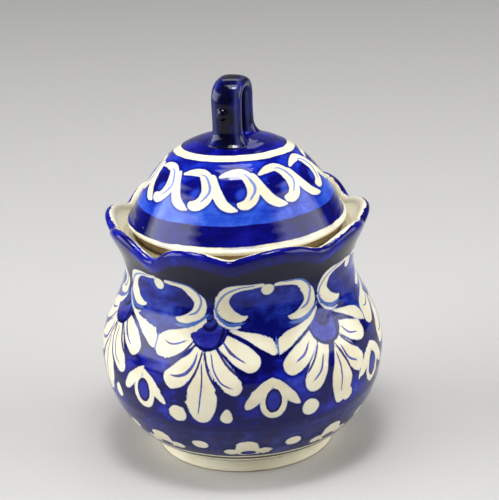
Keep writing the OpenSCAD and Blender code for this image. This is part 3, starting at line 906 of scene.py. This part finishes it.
colour = n.mix(glow, colour, (48, 78, 206), 0.6)
scroll = n.brushed("ivory", 0.30)
colour = n.mix(scroll["Outline"], colour, (8, 8, 100), 0.66)
colour = n.mix(n.below(banded, DARK_RUN, DARK_RUN + 0.3), colour, dark["Color"])
bare = n.bare()
reserve = n.mix(scroll["Bleed"], bare, (150, 168, 214), 0.6)
colour = n.mix(scroll["Mask"], colour, reserve)
colour = n.mix(n.drawn("line"), colour, (84, 112, 196), 0.85)
ring = n.group(brush_edge, Distance=n.minus(n.math("ABSOLUTE", n.minus(axis_gap, RING_MIDDLE)),
                                            RING_HALF), Ragged=0.3)
colour = n.mix(ring["Outline"], colour, (8, 8, 96), 0.6)
colour = n.mix(ring["Mask"], colour, bare)
colour = n.mix(n.below(axis_gap, RING_MIDDLE - RING_HALF - 0.1, RING_MIDDLE - RING_HALF + 0.1), colour,
               cap["Color"])
smear = n.times(n.range(uneven, -0.1, 0.2), n.range(along, -2.0, 1.2))
edge_colour = n.mix(smear, bare, (120, 138, 190), 0.5)
colour = n.mix(n.below(along, EDGE_RUN, EDGE_RUN + 0.3), colour, edge_colour)
# Painted shade: the undercut under the lid's edge takes a dark clay colour, for the shadow where it laps the
# ledge.
under_edge_shade = n.brushed("seat", 0.6)
clay_shade = n.group(ivory_ground, Light=(150, 126, 94), Warm=(120, 98, 70))
colour = n.mix(under_edge_shade["Mask"], colour, clay_shade["Color"])
finish_glaze(n, shader, colour, 0.06, over["Depth"])
lid.data.materials.append(lid_glaze)
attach(lid, "lid")
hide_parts("lid_dome")

# ---- Lid flange -----------------------------------------------------------------------------------
# A collar under the dome, luted on with slip, that drops inside the bowl's ledge and keeps the lid
# from sliding off. It is glazed ivory, and wiped bare at its foot for firing.

FLANGE_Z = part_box("lid_flange")[0].z / MM
FLANGE_WALL, FLANGE_DEEP = FLANGE_OUT - FLANGE_IN, SEAT_Z - FLANGE_Z
flange_outline = even([FLANGE_IN, FLANGE_Z] + join(
    [[0.7, 0], [FLANGE_WALL - 0.7, 0]],
    bend([[FLANGE_WALL - 0.7, 0], [FLANGE_WALL - 0.2, 0], [FLANGE_WALL, 0.2], [FLANGE_WALL, 0.7]], 4),
    [[FLANGE_WALL, 0.7], [FLANGE_WALL, FLANGE_DEEP], [0, FLANGE_DEEP], [0, 0.7]],
    bend([[0, 0.7], [0, 0.2], [0.2, 0], [0.7, 0]], 4)), 40)
flange = turned_mesh("lid_flange_glazed", around(flange_outline[:-1], 300), {})
flange_glaze, n, shader = glazed("ivory glaze on the flange")
waver = n.minus(n.noise(n.place(), 140, 3, 0.6), 0.5)
up = n.plus(n.height(), n.times(waver, 1.0))
bare = n.bare()
colour = n.mix(n.below(up, FLANGE_Z + 0.4, FLANGE_Z + 0.8), bare, (178, 154, 120))
finish_glaze(n, shader, colour, 0.10)
flange.data.materials.append(flange_glaze)
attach(flange, "lid")
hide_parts("lid_flange")

# ---- Strap handle ---------------------------------------------------------------------------------
# A strap of clay pulled by hand, bent over into a loop and pressed onto the dome with its ends spread.
# It is dipped in the darkest cobalt, and pale lavender strips along its faces' edges are painted reflections
# of the side lights.

STRAP_HALF_W, STRAP_HALF_T = 5.2, 2.4
LOOP_MIDDLE = 6.8
LOOP_TURN = -17.5
HANDLE_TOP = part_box("lid_handle")[1].z / MM
BEND_Z = HANDLE_TOP - STRAP_HALF_T - LOOP_MIDDLE
ROOT_Z = DOME_Z - 1.9
strap_steps, strap_sides = 200, 112

leg = BEND_Z - ROOT_Z
whole_run = 2 * leg + math.pi * LOOP_MIDDLE
s = np.linspace(0, whole_run, strap_steps)
bent = np.clip((s - leg) / LOOP_MIDDLE, 0, math.pi)
flatter = 2 / 2.7
path_y = -LOOP_MIDDLE * np.sign(np.cos(bent)) * np.abs(np.cos(bent)) ** flatter
path_z = np.where(s < leg, ROOT_Z + s, np.where(s > leg + math.pi * LOOP_MIDDLE, ROOT_Z + whole_run - s,
                                                 BEND_Z + LOOP_MIDDLE * np.abs(np.sin(bent)) ** flatter))
path = even(np.stack([path_y, path_z], 1), strap_steps - 1)
path_y, path_z = path.T
# The strap's own frame along the loop: flat faces out and in, width across.
ahead_y, ahead_z = np.gradient(path, axis=0).T
out_y, out_z = -ahead_z / np.hypot(ahead_y, ahead_z), ahead_y / np.hypot(ahead_y, ahead_z)
s = np.concatenate([[0], np.cumsum(np.hypot(*np.diff(path, axis=0).T))])
whole_run = s[-1]
root_gap = np.minimum(s, whole_run - s) - (DOME_Z - 0.6 - ROOT_Z)
spread = np.clip(1 - root_gap / 4.2, 0, 1.25) ** 2.4
half_w = STRAP_HALF_W * (1 + 0.012 * np.sin(s * 0.42 + 1)) + 1.2 * spread
half_t = STRAP_HALF_T - 0.10 * (0.5 + 0.5 * np.sin(s * 0.31 + 2)) + 1.7 * spread
side = np.arange(strap_sides) * math.tau / strap_sides
squareness = 2 / 2.5
across = np.sign(np.cos(side)) * np.abs(np.cos(side)) ** squareness
outward = np.sign(np.sin(side)) * np.abs(np.sin(side)) ** squareness
x = half_w[:, None] * across
thick = half_t[:, None] * outward
# A bead of glaze has run and set on the front leg's outer face.
bead_at = ((x + 1.0) / 2.1) ** 2 + ((path_z[:, None] - 123.5) / 2.3) ** 2
thick = thick + np.where((outward > 0.3) & (s[:, None] < leg), 1.3 * np.clip(1 - bead_at, 0, 1) ** 0.8, 0)
y = path_y[:, None] + out_y[:, None] * thick
z = path_z[:, None] + out_z[:, None] * thick
c, d = math.cos(math.radians(LOOP_TURN)), math.sin(math.radians(LOOP_TURN))
strap_grid = np.stack([x * c - y * d, x * d + y * c, z], -1)
ends = [strap_grid[0].mean(0), strap_grid[-1].mean(0)]
strap_fields = {"across": np.broadcast_to(across, x.shape), "outward": np.broadcast_to(outward, x.shape)}
strap = turned_mesh("lid_handle_glazed", strap_grid, strap_fields, poles=ends)

handle_glaze, n, shader = glazed("dark cobalt on the handle")
edge_gap = n.math("ABSOLUTE", n.attribute("across"))
streak = n.noise(n.place((2.2, 2.2, 0.6), (0, 0, 0.3)), 240, 4, 0.6, 0.8)
blotch = n.noise(n.place(), 120, 3, 0.55, 0.4)
tone = n.plus(n.times(streak, 0.6), n.times(blotch, 0.6))
# Painted sheen: the tone rises towards the strap's edges, so its middle is darker.
painted_edge_sheen = n.times(n.range(edge_gap, 0.15, 0.75), 0.16)
tone = n.plus(tone, painted_edge_sheen)
colour = n.mix(n.range(tone, 0.58, 0.86), (3, 3, 24), (12, 12, 84))
colour = n.mix(n.range(tone, 0.76, 0.98), colour, (36, 46, 140), 0.5)
on_face = n.range(n.math("ABSOLUTE", n.attribute("outward")), 0.55, 0.95)
# Painted reflection: pale lavender strips on the faces' edges stand in for the side lights' reflections.
painted_edge_reflection = n.times(n.range(edge_gap, 0.52, 0.86), n.range(tone, 0.36, 0.70))
painted_edge_reflection = n.times(painted_edge_reflection, on_face)
colour = n.mix(painted_edge_reflection, colour, (88, 94, 146), 0.66)
finish_glaze(n, shader, colour, 0.08, streak)
strap.data.materials.append(handle_glaze)
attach(strap, "lid")
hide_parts("lid_handle")

# ---- Table, light and camera ----------------------------------------------------------------------
# A pale sweep of card on a table, lit by two tall soft boxes at the sides and a broad one overhead.

SWEEP_HALF, SWEEP_BACK, SWEEP_HIGH, SWEEP_ROUND = 3000, 1600, 2600, 700
curve = np.linspace(0, math.pi / 2, 24)
sweep = np.vstack([[[-2600, 0]],
                   np.stack([SWEEP_BACK - SWEEP_ROUND + SWEEP_ROUND * np.sin(curve),
                             SWEEP_ROUND * (1 - np.cos(curve))], 1),
                   [[SWEEP_BACK, SWEEP_HIGH]]])
left = np.column_stack([np.full(len(sweep), -SWEEP_HALF), sweep])
right = np.column_stack([np.full(len(sweep), SWEEP_HALF), sweep])
steps = np.arange(len(sweep) - 1)
faces = np.stack([steps, steps + len(sweep), steps + len(sweep) + 1, steps + 1], 1)
card_mesh = bpy.data.meshes.new("card_sweep")
card_mesh.from_pydata((np.vstack([left, right]) * MM).tolist(), [], faces.tolist())
card_mesh.shade_smooth()
card = bpy.data.objects.new("card_sweep", card_mesh)
bpy.context.scene.collection.objects.link(card)
card_paper = bpy.data.materials.new("pale card")
card_paper.use_nodes = True
paper = card_paper.node_tree.nodes["Principled BSDF"]
paper.inputs["Base Color"].default_value = ink((188, 187, 185))
paper.inputs["Roughness"].default_value = 0.8
card.data.materials.append(card_paper)


def soft_box(name, turn, tilt, distance, wide, high, power, shares=(1,)):
    """An area light, aimed at the bowl's middle from an angle round it, a tilt up and a distance in mm.
    Several shares nest smaller boxes in it with equal power, so that its reflection fades at the edges."""
    a, e = math.radians(turn), math.radians(tilt)
    away = np.array([math.sin(a) * math.cos(e), -math.cos(a) * math.cos(e), math.sin(e)])
    for number, share in enumerate(shares):
        lamp = bpy.data.lights.new(f"{name}_{number}", "AREA")
        lamp.shape = "RECTANGLE"
        lamp.size, lamp.size_y = wide * share * MM, high * share * MM
        lamp.energy = power / len(shares)
        holder = bpy.data.objects.new(f"{name}_{number}", lamp)
        holder.location = (away * (distance + 5 * number) + [0, 0, 70]) * MM
        holder.rotation_euler = (math.pi / 2 - e, 0, a)
        bpy.context.scene.collection.objects.link(holder)


soft_box("left_box", -82, 22, 1100, 1400, 860, 16, (1, 0.86, 0.72))
soft_box("right_box", 80, 24, 1100, 1400, 860, 12, (1, 0.86, 0.72))
soft_box("over_box", 4, 86, 620, 330, 260, 1.9)
soft_box("frame_lamp", 2, 78, 620, 150, 110, 1.5)
soft_box("back_box", 178, 44, 1000, 420, 260, 0.7)
world = bpy.data.worlds.new("dim room")
world.use_nodes = True
world.node_tree.nodes["Background"].inputs["Color"].default_value = ink((150, 152, 158))
world.node_tree.nodes["Background"].inputs["Strength"].default_value = 0.22
bpy.context.scene.world = world
bpy.context.scene.view_settings.view_transform = "Standard"

EYE_BACK, EYE_UP = 612.5, 310.0
YAW, DIP, ROLL = 0.355, 21.32, 2.38
LENS = 134.93
psi, th, rho = math.radians(YAW), math.radians(DIP), math.radians(ROLL)
ahead = np.array([math.sin(psi) * math.cos(th), math.cos(psi) * math.cos(th), -math.sin(th)])
level = np.array([math.cos(psi), -math.sin(psi), 0])
down = np.cross(ahead, level)
across_view = math.cos(rho) * level + math.sin(rho) * down
down_view = math.cos(rho) * down - math.sin(rho) * level
camera_data = bpy.data.cameras.new("camera")
camera_data.lens = LENS
camera_data.clip_end = 20
camera = bpy.data.objects.new("camera", camera_data)
axes = np.column_stack([across_view, -down_view, -ahead, [0, -EYE_BACK * MM, EYE_UP * MM]])
camera.matrix_world = Matrix([*axes.tolist(), [0, 0, 0, 1]])
bpy.context.scene.collection.objects.link(camera)
bpy.context.scene.camera = camera
